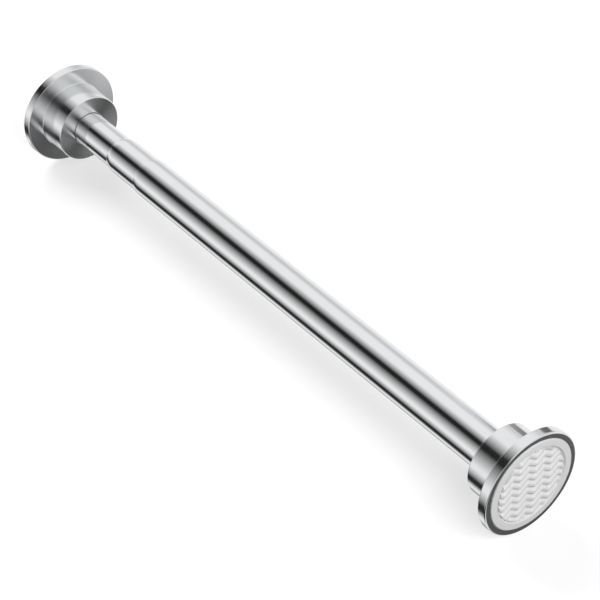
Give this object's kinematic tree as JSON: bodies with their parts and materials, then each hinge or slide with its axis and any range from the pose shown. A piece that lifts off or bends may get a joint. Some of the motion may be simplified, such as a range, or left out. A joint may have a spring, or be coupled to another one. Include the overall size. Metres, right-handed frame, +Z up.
{
  "type": "spring tension rod",
  "caption": "Telescoping spring tension rod in chrome, with a twist lock, a spring sleeve and round wall caps that carry non-slip rubber pads; wedges between two walls to hang a curtain.",
  "frame": {"origin": "centre of the outer tube end's wall face (the crest plane of its pad)", "axes": "+X along the rod towards the inner tube's end, +Z up, +Y completes a right-handed frame"},
  "size_m": [0.4398, 0.066, 0.066],
  "materials": {
    "tube_chrome": "polished stainless tube",
    "cover_chrome": "bright chrome plate with a slight satin",
    "pad_rubber": "matt white rubber",
    "base_plastic": "matt moulded plastic",
    "plug_nylon": "natural nylon",
    "zinc_steel": "zinc-plated steel",
    "spring_steel": "oiled spring steel"
  },
  "bodies": {
    "outer": {"outer_tube": "tube_chrome", "outer_end_cover": "cover_chrome", "outer_end_base": "base_plastic", "outer_end_pad": "pad_rubber", "outer_end_plug": "plug_nylon", "outer_end_washer": "zinc_steel", "outer_end_screw": "zinc_steel", "spring": "spring_steel"},
    "sleeve": {"spring_sleeve": "tube_chrome", "sleeve_seat": "plug_nylon"},
    "expander": {"lock_expander": "plug_nylon"},
    "cone": {"lock_cone": "plug_nylon"},
    "inner": {"inner_tube": "tube_chrome", "lock_stem": "plug_nylon", "lock_washer": "zinc_steel", "lock_screw": "zinc_steel", "inner_end_cover": "cover_chrome", "inner_end_base": "base_plastic", "inner_end_pad": "pad_rubber", "inner_end_plug": "plug_nylon", "inner_end_washer": "zinc_steel", "inner_end_screw": "zinc_steel"}
  },
  "joints": [
    {"name": "spring_stroke", "type": "slide", "parent": "outer", "child": "sleeve", "axis": [-1, 0, 0], "range_m": [0, 0.025], "stiffness_N_per_m": 5500, "deforming": ["spring"]},
    {"name": "length_slide", "type": "slide", "parent": "sleeve", "child": "expander", "axis": [1, 0, 0], "range_m": [-0.0334, 0.1698]},
    {"name": "twist_lock", "type": "hinge", "parent": "expander", "child": "inner", "pos_m": [0.1752, 0, 0], "axis": [1, 0, 0], "range_deg": [0, 540]},
    {"name": "cone_travel", "type": "slide", "parent": "expander", "child": "cone", "axis": [-1, 0, 0], "range_m": [0, 0.003]}
  ],
  "couplings": [
    {"joint": "cone_travel", "follows": "twist_lock", "m_per_rad": 0.000318}
  ]
}
